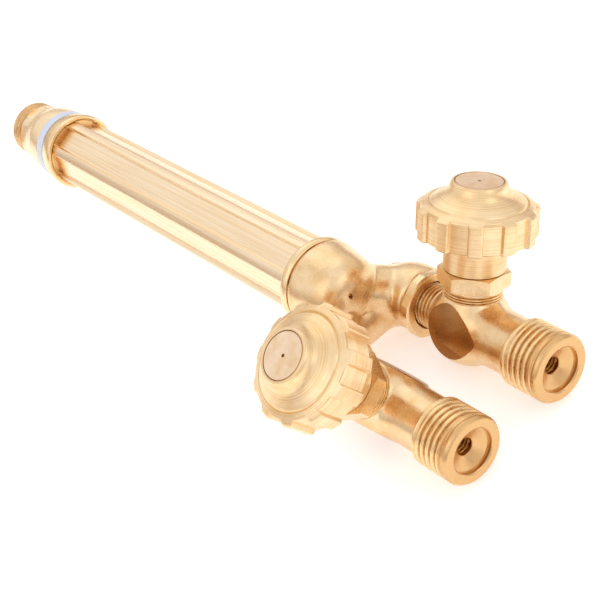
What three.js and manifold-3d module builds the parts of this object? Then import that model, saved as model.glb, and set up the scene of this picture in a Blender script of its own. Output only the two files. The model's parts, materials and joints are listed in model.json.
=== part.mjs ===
// Brass hand torch for glass lampwork: fluted handle, forged Y-body and two needle valves.
// Millimetres, +Z up. The barrel lies along X with the tip at -X and the hose inlets at +X.
import * as THREE from 'three';
import { mergeVertices } from 'three/addons/utils/BufferGeometryUtils.js';
import Module from 'manifold-3d';

const wasm = await Module();
wasm.setup();

// ---- driving dimensions --------------------------------------------------------------
const GAP = 0.3;                 // clearance between pieces that touch on the real torch
const BARREL_RISE = 7.3;         // barrel axis above the two valve axes
const VALVE_OFFSET = 12.1;       // each valve axis to the mid plane
const OXYGEN_LEAN = 24.7;        // knob axes lean outwards from the vertical, degrees
const FUEL_LEAN = 30.6;

const HOSE_THREAD_R = 7.145;     // 9/16 inch hose thread
const INLET_X = 25.0;            // hose face, from the knob axis
const THREAD_START_X = 15.0;
const SOCKET_R = 4.75;           // counterbore that takes the hose gland
const PASSAGE_R = 1.7;           // gas way through the hose end
const TUBE_R = 6.15;
const HUB_R = 8.6;
const HUB_FLAT = 6.3;            // wrench flats on the hub, from the valve axis
const TAIL_R = 4.9;
const TAIL_END_X = -23.4;

const NUT_FLATS = 14.0;          // lock nut across flats
const NUT_R = 7.5;               // its corners are turned down to this radius
const NUT_X = [-13.5, -11.2];
const NUT_BORE_R = TAIL_R + GAP;

const BRANCH_R = 7.15;
const BRANCH_END_X = -13.9;
const WEB_R = 5.9;               // cross web between the two branches
const WEB_X = -22.9;

const BOSS_TOP = 8.1;            // heights along a knob axis, from the valve axis
const HEX_FLATS = 13.0;
const HEX_Z = [9.2, 12.5];
const HEX_TURN = { oxygen: 10, fuel: 0 };   // how far each bonnet is screwed round, degrees
const SKIRT_Z = 12.8;
const RIM_Z = [19.6, 26.1];
const KNOB_TOP = 30.95;
const SKIRT_R = 6.4;
const RIM_R = 11.3;
const RIDGE_R = 12.15;
const RIDGES = 11;
const RIDGE_WIDTH = 2.9;
const RIDGE_PHASE = { oxygen: -12.3, fuel: -4 };   // first ridge from +X, degrees
const PLUG_R = 4.8;
const SEAT_Z = -1.4;
const BALL_R = 1.9;
const SHANK_R = 2.0;

const LAND_R = 8.6;              // fluted barrel
const FLUTE_R = 7.8;
const FLUTES = 6;
const LAND_DEGREES = 17;
const LAND_PHASE = -10;          // first land, degrees from the top towards the fuel side
const BARREL_BORE_R = 6.0;
const BARREL_X = [-138.8, -31.4];

const RING_X = [-33.5, -31.4];
const COLLAR_X = [-141.1, -136.4];
const COLLAR_R = 10.05;
const HEAD_TIP_X = -162.9;
const HEAD_THREAD_R = 7.25;
const HEAD_THREAD_END = -159.0;
const LABEL_X = [-144.4, -141.4];
const LABEL_R = 9.3;
const LABEL_THICKNESS = 0.35;
const HEAD_FLATS = 13.9;
const HEAD_SPIGOT_R = 5.7;

const GAS_TUBE_OFFSET = 2.8;     // oxygen and fuel tubes inside the barrel
const GAS_TUBE_R = 1.95;
const GAS_TUBE_X = [-140.0, -33.0];

const ROUND = 28;                // sides on large turned pieces
const SMALL = 16;                // sides on small turned pieces

// ---- shape helpers -------------------------------------------------------------------
function enclosedVolume(position, index) {
  const [a, b, c] = [new THREE.Vector3(), new THREE.Vector3(), new THREE.Vector3()];
  let volume = 0;
  for (let i = 0; i < index.length; i += 3) {
    a.fromBufferAttribute(position, index[i]);
    b.fromBufferAttribute(position, index[i + 1]);
    c.fromBufferAttribute(position, index[i + 2]);
    volume += a.dot(b.cross(c)) / 6;
  }
  return volume;
}

// A closed three.js geometry becomes a solid that can be joined and cut.
function solid(geometry) {
  const bare = geometry.clone();
  bare.deleteAttribute('normal');
  bare.deleteAttribute('uv');
  const merged = mergeVertices(bare, 1e-4);
  const corners = Array.from(merged.index.array);
  const triangles = [];
  for (let i = 0; i < corners.length; i += 3) {
    const [a, b, c] = corners.slice(i, i + 3);
    if (a !== b && b !== c && c !== a) triangles.push(a, b, c);
  }
  if (enclosedVolume(merged.attributes.position, triangles) < 0) triangles.reverse();
  return new wasm.Manifold(new wasm.Mesh({
    numProp: 3,
    vertProperties: new Float32Array(merged.attributes.position.array),
    triVerts: new Uint32Array(triangles),
  }));
}

function join(first, ...others) {
  return others.reduce((whole, piece) => whole.add(piece), first);
}

function cut(first, ...tools) {
  return tools.reduce((rest, tool) => rest.subtract(tool), first);
}

// Profiles are lists of [radius, distance along the axis].
function turnedAlongZ(profile, sides = ROUND, at = [0, 0, 0]) {
  const points = profile.map(([r, z]) => new THREE.Vector2(r, z));
  const geometry = new THREE.LatheGeometry(points, sides);
  geometry.rotateX(Math.PI / 2);
  geometry.translate(...at);
  return solid(geometry);
}

function turnedAlongX(profile, sides = ROUND, at = [0, 0, 0]) {
  const points = profile.map(([r, x]) => new THREE.Vector2(r, x));
  const geometry = new THREE.LatheGeometry(points, sides);
  geometry.rotateZ(-Math.PI / 2);
  geometry.translate(...at);
  return solid(geometry);
}

function rod(radius, from, to) {
  return [[0, from], [radius, from], [radius, to], [0, to]];
}

function ringProfile(inner, outer, from, to) {
  return [[inner, from], [outer, from], [outer, to], [inner, to], [inner, from]];
}

function box(size, at) {
  const geometry = new THREE.BoxGeometry(...size);
  geometry.translate(...at);
  return solid(geometry);
}

// A rod of the given radius between two points, with flat ends.
function drilled(radius, from, to, sides = SMALL) {
  const [start, end] = [new THREE.Vector3(...from), new THREE.Vector3(...to)];
  const along = end.clone().sub(start);
  const geometry = new THREE.CylinderGeometry(radius, radius, along.length(), sides);
  geometry.applyQuaternion(new THREE.Quaternion().setFromUnitVectors(
    new THREE.Vector3(0, 1, 0), along.clone().normalize()));
  geometry.translate(...start.add(end).multiplyScalar(0.5).toArray());
  return solid(geometry);
}

// Hexagonal prism along Z with its corners turned back at both ends.
function hexPrism(flats, [from, to], chamfer) {
  const corner = flats / Math.sqrt(3);
  const geometry = new THREE.CylinderGeometry(corner, corner, to - from, 6);
  geometry.rotateX(Math.PI / 2);
  geometry.translate(0, 0, (from + to) / 2);
  const inner = flats / 2 - 0.1;
  const turned = turnedAlongZ([
    [0, from], [inner, from], [corner + 0.1, from + chamfer],
    [corner + 0.1, to - chamfer], [inner, to], [0, to]], ROUND);
  return solid(geometry).intersect(turned);
}

function brass(color, roughness) {
  return new THREE.MeshStandardMaterial({ color, roughness, metalness: 1 });
}

function named(name, shape, material) {
  const { vertProperties, triVerts } = shape.getMesh();
  const geometry = new THREE.BufferGeometry();
  geometry.setAttribute('position', new THREE.Float32BufferAttribute(vertProperties, 3));
  geometry.setIndex(new THREE.Uint32BufferAttribute(triVerts, 1));
  geometry.computeVertexNormals();
  const mesh = new THREE.Mesh(geometry, material);
  mesh.name = name;
  return mesh;
}

// ---- handle, in the barrel's own axis ------------------------------------------------
function tubeSockets(from, to) {
  return [1, -1].map((side) => turnedAlongX(
    rod(GAS_TUBE_R + GAP, from, to), SMALL, [0, side * GAS_TUBE_OFFSET, 0]));
}

function frontHead() {
  const shoulder = LABEL_R - LABEL_THICKNESS - GAP;
  const outside = turnedAlongX([
    [0, HEAD_TIP_X], [HEAD_THREAD_R - 0.6, HEAD_TIP_X], [HEAD_THREAD_R, HEAD_TIP_X + 0.6],
    [HEAD_THREAD_R, HEAD_THREAD_END], [6.9, HEAD_THREAD_END + 0.3], [6.9, -158.2],
    [7.45, -157.7], [7.6, -154.4], [7.95, -152.6], [8.6, -150.6], [8.95, -149.3],
    [LABEL_R, LABEL_X[0] - GAP], [shoulder, LABEL_X[0] - GAP], [shoulder, COLLAR_X[0] - GAP],
    [HEAD_SPIGOT_R + 1, COLLAR_X[0] - GAP], [HEAD_SPIGOT_R + 1, BARREL_X[0] - GAP],
    [HEAD_SPIGOT_R, BARREL_X[0] - GAP], [HEAD_SPIGOT_R, -134.0], [0, -134.0]]);
  const hex = new THREE.CylinderGeometry(
    HEAD_FLATS / Math.sqrt(3), HEAD_FLATS / Math.sqrt(3), 4.4, 6);
  hex.rotateZ(-Math.PI / 2);
  hex.translate(-155.9, 0, 0);
  const hexZone = turnedAlongX(rod(LABEL_R, -158.0, -153.8));
  const wrenchHex = cut(hexZone, solid(hex));
  const tipSeat = turnedAlongX([
    [0, HEAD_TIP_X - 1], [4.6, HEAD_TIP_X - 1], [4.6, HEAD_TIP_X + 2.5],
    [3.4, HEAD_TIP_X + 9], [0, HEAD_TIP_X + 9]], SMALL);
  const passages = [1, -1].map((side) => drilled(
    1.0, [HEAD_TIP_X + 8, side * 1.9, 0], [-139.0, side * GAS_TUBE_OFFSET, 0], 16));
  return cut(outside, wrenchHex, tipSeat, ...passages, ...tubeSockets(-140.4, -133.0));
}

function labelBand() {
  return turnedAlongX(ringProfile(LABEL_R - LABEL_THICKNESS, LABEL_R, ...LABEL_X));
}

function frontCollar() {
  const [front, rear] = COLLAR_X;
  return turnedAlongX([
    [7.0, front], [9.4, front], [9.6, front + 0.5], [COLLAR_R - 0.1, rear - 1.6],
    [COLLAR_R, rear - 0.5], [COLLAR_R - 0.3, rear], [LAND_R + 0.6, rear],
    [LAND_R + GAP, rear - 0.5], [LAND_R + GAP, front + 2], [7.0, front + 2], [7.0, front]]);
}

function handleBarrel() {
  const radians = THREE.MathUtils.degToRad;
  const outline = new THREE.Shape();
  const pitch = 360 / FLUTES;
  for (let i = 0; i < FLUTES; i += 1) {
    const middle = LAND_PHASE + i * pitch;
    const [start, end] = [middle - LAND_DEGREES / 2, middle + LAND_DEGREES / 2];
    const next = middle + pitch - LAND_DEGREES / 2;
    const corner = (radius, angle) => new THREE.Vector2(
      radius * Math.cos(radians(angle)), radius * Math.sin(radians(angle)));
    [corner(LAND_R, start), corner(LAND_R, middle), corner(LAND_R, end),
      corner(FLUTE_R, end + 1.5), corner(FLUTE_R - 0.3, (end + next) / 2),
      corner(FLUTE_R, next - 1.5),
    ].forEach((point, k) => (i + k === 0
      ? outline.moveTo(point.x, point.y) : outline.lineTo(point.x, point.y)));
  }
  outline.closePath();
  const bar = new THREE.ExtrudeGeometry(outline, {
    depth: BARREL_X[1] - BARREL_X[0], bevelEnabled: false });
  // outline x becomes up and outline y becomes the fuel side, with the length along X
  bar.applyMatrix4(new THREE.Matrix4().makeBasis(
    new THREE.Vector3(0, 0, 1), new THREE.Vector3(0, -1, 0), new THREE.Vector3(1, 0, 0)));
  bar.translate(BARREL_X[0], 0, 0);
  return cut(solid(bar), turnedAlongX(rod(BARREL_BORE_R, BARREL_X[0] - 1, BARREL_X[1] + 1)));
}

function rearRing() {
  const [front, rear] = RING_X;
  const inner = LAND_R + GAP;
  return turnedAlongX([
    [inner, front], [9.5, front], [9.9, front + 0.6], [9.9, rear - 0.5], [9.5, rear],
    [inner, rear], [inner, front]]);
}

function gasTube(side) {
  const [front, rear] = GAS_TUBE_X;
  return turnedAlongX(
    ringProfile(1.3, GAS_TUBE_R, front, rear), 16, [0, side * GAS_TUBE_OFFSET, 0]);
}

function yBody() {
  const neck = turnedAlongX([
    [0, -40.5], [5.3, -40.5], [5.6, -40.2], [5.6, -31.0], [9.5, -31.0], [9.85, -30.5],
    [9.75, -29.3], [9.35, -27.1], [9.0, -24.8], [8.2, -21.8], [6.4, -19.8], [3.6, -18.8],
    [0, -18.5]], ROUND, [0, 0, BARREL_RISE]);
  const sides = [1, -1].map((side) => {
    const centre = [0, side * VALVE_OFFSET, 0];
    const branch = turnedAlongX([
      [0, -26.6], [3.6, -26.2], [5.9, -24.8], [7.0, -22.2], [BRANCH_R, -19.5],
      [BRANCH_R, -16.6], [6.95, -15.6], [6.6, BRANCH_END_X], [0, BRANCH_END_X]], 24, centre);
    const link = new THREE.CapsuleGeometry(6.4, 7, 4, 16);
    const lean = new THREE.Vector3(2, side * 8.4, -5).normalize();
    link.applyQuaternion(
      new THREE.Quaternion().setFromUnitVectors(new THREE.Vector3(0, 1, 0), lean));
    link.translate(-22.8, side * 7.0, 2.8);
    return branch.add(solid(link));
  });
  const web = drilled(WEB_R, [WEB_X, -VALVE_OFFSET, 0], [WEB_X, VALVE_OFFSET, 0], 20);
  const cuts = [1, -1].flatMap((side) => [
    drilled(1.1, [-33, side * GAS_TUBE_OFFSET, BARREL_RISE], [-23.5, side * VALVE_OFFSET, 0], 16),
    turnedAlongX(rod(NUT_BORE_R, TAIL_END_X - 0.8, BRANCH_END_X + 1), SMALL,
      [0, side * VALVE_OFFSET, 0]),
    turnedAlongX(rod(GAS_TUBE_R + GAP, -41.5, -32.6), SMALL,
      [0, side * GAS_TUBE_OFFSET, BARREL_RISE]),
  ]);
  return cut(join(neck, web, ...sides), ...cuts);
}

// ---- one valve: X towards the hose, Z along the knob axis ------------------------------
function lockNut() {
  const [front, rear] = NUT_X;
  const length = rear - front;
  const hex = hexPrism(NUT_FLATS, [0, length], 0.3);
  const rounded = hex.intersect(turnedAlongZ(rod(NUT_R, 0, length)));
  const bored = cut(rounded, turnedAlongZ(rod(NUT_BORE_R, -1, length + 1), SMALL));
  return bored.rotate([0, 90, 0]).translate([front, 0, 0]);
}

function valveBody() {
  const forging = turnedAlongX([
    [0, TAIL_END_X], [TAIL_R - 0.6, TAIL_END_X], [TAIL_R, TAIL_END_X + 0.6], [TAIL_R, -7.3],
    [5.4, -6.85], [6.5, -5.7], [7.5, -4.3], [8.3, -2.3], [HUB_R, 0], [8.3, 2.3],
    [7.5, 4.3], [6.75, 5.8], [6.35, 7.0], [TUBE_R, 8.4], [TUBE_R, THREAD_START_X],
    [6.7, THREAD_START_X + 0.1], [HOSE_THREAD_R, THREAD_START_X + 0.9],
    [HOSE_THREAD_R, INLET_X - 0.6], [6.7, INLET_X], [0, INLET_X]]);
  const boss = turnedAlongZ([
    [0, 0], [7.9, 0], [7.6, 3.0], [6.9, 5.4], [6.3, 6.9], [6.2, BOSS_TOP], [0, BOSS_TOP]]);
  const flats = [1, -1].map((side) => box([17, 4, 14.4], [0, side * (HUB_FLAT + 2), -0.9]));
  const hosePassage = turnedAlongX([
    [0, 2.5], [PASSAGE_R, 2.5], [PASSAGE_R, INLET_X - 2.4], [SOCKET_R - 0.35, INLET_X - 1],
    [SOCKET_R, INLET_X - 1], [SOCKET_R, INLET_X + 1], [0, INLET_X + 1]], 24);
  const chamber = turnedAlongZ([
    [0, SEAT_Z], [3.0, SEAT_Z], [3.0, 4.4], [3.8, 4.4], [3.8, 6.9], [4.8, 6.9],
    [4.8, BOSS_TOP + 1], [0, BOSS_TOP + 1]], SMALL);
  const seatHole = turnedAlongZ(rod(1.2, -4.3, SEAT_Z + 1), SMALL);
  const tailPassage = turnedAlongX(rod(1.1, TAIL_END_X - 1, 0.4), 16, [0, 0, -3.1]);
  return cut(join(forging, boss), ...flats, hosePassage, chamber, seatHole, tailPassage);
}

function bonnet(gas) {
  const hex = hexPrism(HEX_FLATS, HEX_Z, 0.45).rotate([0, 0, HEX_TURN[gas]]);
  const spigot = turnedAlongZ(rod(4.5, 7.3, HEX_Z[0] + 0.5), SMALL);
  const neck = turnedAlongZ(rod(4.2, HEX_Z[1] - 0.5, 15.2), SMALL);
  return cut(join(hex, spigot, neck), turnedAlongZ(rod(SHANK_R + GAP, 6, 16), SMALL));
}

function bonnetWasher() {
  return turnedAlongZ(ringProfile(4.85, 6.1, BOSS_TOP + GAP, HEX_Z[0] - GAP), ROUND);
}

function packingRing() {
  return turnedAlongZ(ringProfile(SHANK_R + GAP, 3.5, 4.7, 6.2), SMALL);
}

function packingWasher() {
  return turnedAlongZ(ringProfile(SHANK_R + GAP, 3.5, 6.5, 7.0), SMALL);
}

function seatBall() {
  const sphere = new THREE.SphereGeometry(BALL_R, 12, 8);
  sphere.translate(0, 0, SEAT_Z + 1.8);
  return solid(sphere);
}

function stem() {
  const shaft = turnedAlongZ([
    [0, 2.6], [BALL_R + GAP, 2.6], [BALL_R + GAP, 1.2], [2.7, 1.2], [2.7, 2.9],
    [SHANK_R, 2.9], [SHANK_R, 18.8], [0, 18.8]], SMALL);
  const square = box([3.6, 3.6, 5.4], [0, 0, 21.3]);
  return cut(join(shaft, square), turnedAlongZ(rod(1.45, 20.0, 25.0), 16));
}

function knob(gas) {
  const [low, high] = RIM_Z;
  const turned = turnedAlongZ([
    [0, SKIRT_Z], [SKIRT_R - 0.25, SKIRT_Z], [SKIRT_R, SKIRT_Z + 0.3], [SKIRT_R, low],
    [RIM_R - 0.2, low], [RIM_R, low + 0.3], [RIM_R, high - 0.1], [9.9, 26.9], [9.75, 26.5],
    [9.5, 27.0], [8.0, 27.7], [6.5, 28.5], [5.9, 29.2], [5.65, 30.2], [5.35, KNOB_TOP],
    [0, KNOB_TOP]]);
  const ridges = [];
  for (let i = 0; i < RIDGES; i += 1) {
    const ridge = new THREE.BoxGeometry(RIDGE_R - 9, RIDGE_WIDTH, high - low - 0.5);
    ridge.translate((RIDGE_R + 9) / 2, 0, (low + high) / 2 - 0.15);
    ridge.rotateZ(THREE.MathUtils.degToRad(RIDGE_PHASE[gas] + (i * 360) / RIDGES));
    ridges.push(solid(ridge));
  }
  const skirtBore = turnedAlongZ(rod(4.6, SKIRT_Z - 1, 18.4), SMALL);
  const square = box([3.6 + 2 * GAP, 3.6 + 2 * GAP, 7], [0, 0, 21.3]);
  const screwPocket = turnedAlongZ(rod(3.6, 24.3, 27.5), SMALL);
  const plugPocket = turnedAlongZ(rod(PLUG_R + 0.25, 26.9, KNOB_TOP + 1), 24);
  return cut(join(turned, ...ridges), skirtBore, square, screwPocket, plugPocket);
}

function knobScrew() {
  const head = turnedAlongZ(
    [[0, 24.6], [3.2, 24.6], [3.2, 26.0], [2.7, 26.5], [0, 26.5]], SMALL);
  const shank = turnedAlongZ(rod(1.15, 20.5, 25.0), 16);
  return cut(join(head, shank), box([7, 0.8, 1.6], [0, 0, 26.5]));
}

function knobPlug() {
  return turnedAlongZ([
    [0, 27.2], [PLUG_R, 27.2], [PLUG_R, KNOB_TOP - 0.1], [PLUG_R - 0.1, KNOB_TOP],
    [0.5, KNOB_TOP], [0, KNOB_TOP - 0.5]], 24);
}

const POLISHED = 0xe2b866;
const FORGED = 0xc99a5f;
const STEEL = 0xb9bcc0;

function valvePieces(gas) {
  return [
    named(`${gas}_lock_nut`, lockNut(), brass(POLISHED, 0.28)),
    named(`${gas}_valve_body`, valveBody(), brass(FORGED, 0.42)),
    named(`${gas}_bonnet`, bonnet(gas), brass(POLISHED, 0.28)),
    named(`${gas}_bonnet_washer`, bonnetWasher(), brass(POLISHED, 0.32)),
    named(`${gas}_packing_ring`, packingRing(), new THREE.MeshStandardMaterial({
      color: 0xe8e6df, roughness: 0.6, metalness: 0 })),
    named(`${gas}_packing_washer`, packingWasher(), brass(FORGED, 0.4)),
    named(`${gas}_seat_ball`, seatBall(), brass(STEEL, 0.15)),
    named(`${gas}_stem`, stem(), brass(POLISHED, 0.3)),
    named(`${gas}_knob`, knob(gas), brass(POLISHED, 0.25)),
    named(`${gas}_knob_screw`, knobScrew(), brass(STEEL, 0.35)),
    named(`${gas}_knob_plug`, knobPlug(), brass(POLISHED, 0.38)),
  ];
}

// ---- the whole torch -----------------------------------------------------------------
const handle = new THREE.Group();
handle.position.z = BARREL_RISE;
handle.add(
  named('front_head', frontHead(), brass(POLISHED, 0.3)),
  named('label_band', labelBand(), new THREE.MeshStandardMaterial({
    color: 0xd5dae6, roughness: 0.6, metalness: 0 })),
  named('front_collar', frontCollar(), brass(POLISHED, 0.3)),
  named('handle_barrel', handleBarrel(), brass(POLISHED, 0.28)),
  named('rear_ring', rearRing(), brass(POLISHED, 0.3)),
  named('oxygen_tube', gasTube(1), brass(FORGED, 0.35)),
  named('fuel_tube', gasTube(-1), brass(FORGED, 0.35)),
);

const torch = new THREE.Group();
torch.add(handle, named('y_body', yBody(), brass(FORGED, 0.42)));
[['oxygen', 1, OXYGEN_LEAN], ['fuel', -1, FUEL_LEAN]].forEach(([gas, side, lean]) => {
  const valve = new THREE.Group();
  valve.position.y = side * VALVE_OFFSET;
  valve.rotation.x = -side * THREE.MathUtils.degToRad(lean);
  valve.add(...valvePieces(gas));
  torch.add(valve);
});

// The origin is under the middle of the torch, level with its lowest point.
const extent = new THREE.Box3().setFromObject(torch, true);
const middle = extent.getCenter(new THREE.Vector3());
torch.position.set(-middle.x, -middle.y, -extent.min.z);

const part = new THREE.Group();
part.add(torch);

export default part;
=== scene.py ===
"""Brass hand torch for glass lampwork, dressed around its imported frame."""
import json
import math

import bmesh
import bpy
from bpy.props import FloatProperty, FloatVectorProperty, IntProperty, PointerProperty
from mathutils import Matrix, Vector


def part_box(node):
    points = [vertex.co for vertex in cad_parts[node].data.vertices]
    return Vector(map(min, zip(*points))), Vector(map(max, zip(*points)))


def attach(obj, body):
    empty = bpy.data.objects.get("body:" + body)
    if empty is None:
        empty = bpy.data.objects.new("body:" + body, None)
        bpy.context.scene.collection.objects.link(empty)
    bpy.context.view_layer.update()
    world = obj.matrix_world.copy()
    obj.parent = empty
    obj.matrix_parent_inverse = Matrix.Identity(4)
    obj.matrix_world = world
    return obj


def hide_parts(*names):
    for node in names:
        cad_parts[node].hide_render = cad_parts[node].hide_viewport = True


bl_info = {
    "name": "Lampwork Torch",
    "version": (1, 0, 0),
    "blender": (4, 5, 0),
    "location": "View3D > Sidebar > Torch",
    "description": "Builds the visible surfaces of a brass lampwork hand torch",
    "category": "Object",
}

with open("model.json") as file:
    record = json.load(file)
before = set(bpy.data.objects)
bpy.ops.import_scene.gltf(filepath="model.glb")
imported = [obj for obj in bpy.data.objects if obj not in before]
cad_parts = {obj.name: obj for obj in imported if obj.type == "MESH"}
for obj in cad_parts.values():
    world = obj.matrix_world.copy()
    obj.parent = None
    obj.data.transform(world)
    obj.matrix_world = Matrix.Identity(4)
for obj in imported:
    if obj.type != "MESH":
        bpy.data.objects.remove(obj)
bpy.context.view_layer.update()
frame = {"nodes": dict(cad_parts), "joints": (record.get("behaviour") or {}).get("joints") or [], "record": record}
MM = 0.001
GASES = ("oxygen", "fuel")
JOINTS = {joint["name"]: joint for joint in frame["joints"]}
HEX_TURN = {"oxygen": 10, "fuel": 0}          # where each bonnet stops, degrees
RIDGE_PHASE = {"oxygen": -12.3, "fuel": -4}   # first ridge from the hose direction, degrees
LABEL_FRONT, LABEL_REAR = -144.5, -141.4      # edges of the label's seat, mm
NOSE_FLATS = 13.9                             # wrench flats on the nose, across flats, mm
BONNET_HEX = (9.2, 12.6)                      # foot and top of a bonnet's hexagon, mm
LOCK_NUT = (-13.5, -11.2)                     # front and rear face of a lock nut, mm
NOWHERE = 1000                                # millimetres, beyond every piece
TURN_TO_HOSE = Matrix(((0, 0, 1), (0, -1, 0), (1, 0, 0))).to_4x4()   # local z to local x


def joint_place(gas):
    """Point where a knob's axis meets its valve's axis, and the knob axis, from the frame."""
    joint = JOINTS[f"{gas}_knob_turn"]
    return Vector(joint["pos_m"]), Vector(joint["axis"]).normalized()


ORIGIN = (joint_place("oxygen")[0] + joint_place("fuel")[0]) / 2
BARREL_LOW, BARREL_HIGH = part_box("handle_barrel")
BARREL_RISE = ((BARREL_LOW.z + BARREL_HIGH.z) / 2 - ORIGIN.z) / MM


def handle_frame():
    """Frame of the handle: local z runs along the barrel to the hoses, local x points up."""
    place = ORIGIN + Vector((0, 0, BARREL_RISE)) * MM
    return Matrix.Translation(place) @ TURN_TO_HOSE @ Matrix.Scale(MM, 4)


def valve_frame(gas):
    """Frame of one valve: local x runs towards the hose, local z along the knob axis."""
    place, up = joint_place(gas)
    across = up.cross(Vector((1, 0, 0)))
    basis = Matrix((Vector((1, 0, 0)), across, up)).transposed().to_4x4()
    return Matrix.Translation(place) @ basis @ Matrix.Scale(MM, 4)


# ---- sizes and colours ---------------------------------------------------------------
def linear(code):
    """Linear colour of an sRGB hex value."""
    channels = [int(code[i:i + 2], 16) / 255 for i in (1, 3, 5)]
    return [c / 12.92 if c <= 0.04045 else ((c + 0.055) / 1.055) ** 2.4
            for c in channels] + [1.0]


def shade(label, about, code):
    """Colour property whose default is an sRGB hex value."""
    return FloatVectorProperty(name=label, description=about, subtype="COLOR", min=0, max=1,
                               default=linear(code)[:3])


class TorchHandleSizes(bpy.types.PropertyGroup):
    """Sizes of the handle, in millimetres"""

    land_radius: FloatProperty(
        name="Land radius", description="Barrel radius over its lands, mm", default=8.6)
    flute_radius: FloatProperty(
        name="Flute radius", description="Radius at the foot of a flute's walls, mm", default=7.75)
    flutes: IntProperty(name="Flutes", description="Flutes round the barrel", default=6)
    land_width: FloatProperty(
        name="Land width", description="Width of one land, degrees", default=17.0)
    land_phase: FloatProperty(
        name="Land phase", description="First land from the top, degrees", default=-10.0)
    bore_radius: FloatProperty(
        name="Bore radius", description="Inside radius of the barrel, mm", default=6.0)
    barrel_front: FloatProperty(
        name="Barrel front", description="Front end of the barrel from the knobs, mm",
        default=-138.15)
    nose_radius: FloatProperty(
        name="Nose radius", description="Radius over the nose thread, mm", default=7.25)
    tip_pitch: FloatProperty(
        name="Tip thread pitch", description="Pitch of the nose thread, mm", default=1.06)


class TorchValveSizes(bpy.types.PropertyGroup):
    """Sizes of a valve, in millimetres"""

    hose_radius: FloatProperty(
        name="Hose thread radius", description="Radius over the hose thread, mm", default=7.145)
    hose_pitch: FloatProperty(
        name="Hose thread pitch", description="Eighteen threads to the inch, mm", default=1.411)
    hose_depth: FloatProperty(
        name="Hose thread depth", description="Depth of the cut hose thread, mm", default=0.68)
    hose_start: FloatProperty(
        name="Hose thread start", description="Foot of the hose thread, mm", default=14.9)
    hose_face: FloatProperty(
        name="Hose face", description="Face of the hose end, mm", default=25.0)
    tube_radius: FloatProperty(
        name="Tube radius", description="Plain tube between hub and thread, mm", default=6.15)
    hub_radius: FloatProperty(
        name="Hub radius", description="Radius of the round hub, mm", default=8.6)
    hub_flat: FloatProperty(
        name="Hub flat", description="Wrench flat from the valve axis, mm", default=6.3)
    tail_radius: FloatProperty(
        name="Tail radius", description="Radius over the tail thread, mm", default=4.9)
    tail_pitch: FloatProperty(
        name="Tail pitch", description="Pitch of the tail thread, mm", default=1.0)
    socket_radius: FloatProperty(
        name="Socket radius", description="Counterbore for the hose gland, mm", default=4.75)
    bonnet_flats: FloatProperty(
        name="Bonnet flats", description="Bonnet across flats, mm", default=13.0)
    nut_flats: FloatProperty(
        name="Lock nut flats", description="Lock nut across flats, mm", default=14.0)
    nut_radius: FloatProperty(
        name="Lock nut radius", description="Radius its corners are turned to, mm", default=7.5)


class TorchKnobSizes(bpy.types.PropertyGroup):
    """Sizes of a knob, in millimetres"""

    rim_radius: FloatProperty(
        name="Rim radius", description="Radius between the ridges, mm", default=11.3)
    ridge_height: FloatProperty(
        name="Ridge height", description="How far a ridge stands out, mm", default=0.85)
    ridges: IntProperty(name="Ridges", description="Ridges round the rim", default=11)
    ridge_share: FloatProperty(
        name="Ridge share", description="Share of the pitch that a ridge takes", default=0.42)
    rim_low: FloatProperty(
        name="Rim low", description="Foot of the rim from the valve axis, mm", default=19.6)
    rim_high: FloatProperty(
        name="Rim high", description="Top of the rim from the valve axis, mm", default=26.2)
    skirt_radius: FloatProperty(
        name="Skirt radius", description="Radius of the skirt over the bonnet, mm", default=6.4)
    plug_radius: FloatProperty(
        name="Plug radius", description="Radius of the inset plug, mm", default=4.8)


class TorchFinishes(bpy.types.PropertyGroup):
    """Colours of the torch's finishes"""

    polished_pale: shade("Polished, pale", "Turned brass where it is brightest", "#F9DEB6")
    polished_deep: shade("Polished, deep", "Turned brass between", "#EDC994")
    ring: shade("Tool rings", "Darker rings that the lathe tool leaves", "#C99A5C")
    drawn_pale: shade("Drawn, pale", "Barrel streaks, bright", "#FBE6C8")
    drawn_deep: shade("Drawn, deep", "Barrel streaks, between", "#F0D0A4")
    plug: shade("Plug", "Faced plug, rosier than the knob", "#F7DEC2")
    forged_pale: shade("Forged, pale", "Tumbled forging", "#F5D9B0")
    forged_deep: shade("Forged, deep", "Rosier clouds on a forging", "#E3B983")
    stain: shade("Stain", "Heat and oil stain on forgings", "#BF9058")
    # painted reflection: the brown of the wrench flats stands in for the shaded brass that they reflect
    milled_flat_painted_reflection: shade("Milled flat", "Wrench flats gone brown", "#B58552")
    crest: shade("Thread crest", "Crests of cut threads", "#F4D4A0")
    face: shade("Thread face", "Hose faces, dulled", "#DDB27C")
    # brown laid towards the thread roots, and in the seam round a plug
    root_and_seam_brown: shade("Oil", "Old cutting oil in thread roots and seams", "#B5773A")
    # painted shade: the dark in the centre dimple of a plug
    dimple_shade: shade("Drill mark", "Centre mark on a plug", "#6A4526")
    tube_pale: shade("Tube, pale", "Drawn gas tube", "#D9B070")
    tube_deep: shade("Tube, deep", "Darker clouds on the gas tube", "#C08F4F")
    paper_pale: shade("Paper, pale", "Label paper", "#D9DFEC")
    paper_deep: shade("Paper, deep", "Fibres of the label paper", "#C8D0E0")
    ptfe_pale: shade("PTFE, pale", "Packing", "#EFECE4")
    ptfe_deep: shade("PTFE, deep", "Mottle of the packing", "#DAD6CB")
    steel_pale: shade("Steel, pale", "Ground steel", "#C9CCD0")
    steel_deep: shade("Steel, deep", "Grinding rings", "#B3B7BC")
    board: shade("Board", "Floor of the stage", "#F4F3F1")
    flags: shade("Flags", "Warm dark screens round the stage, low down", "#8A5826")


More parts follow.
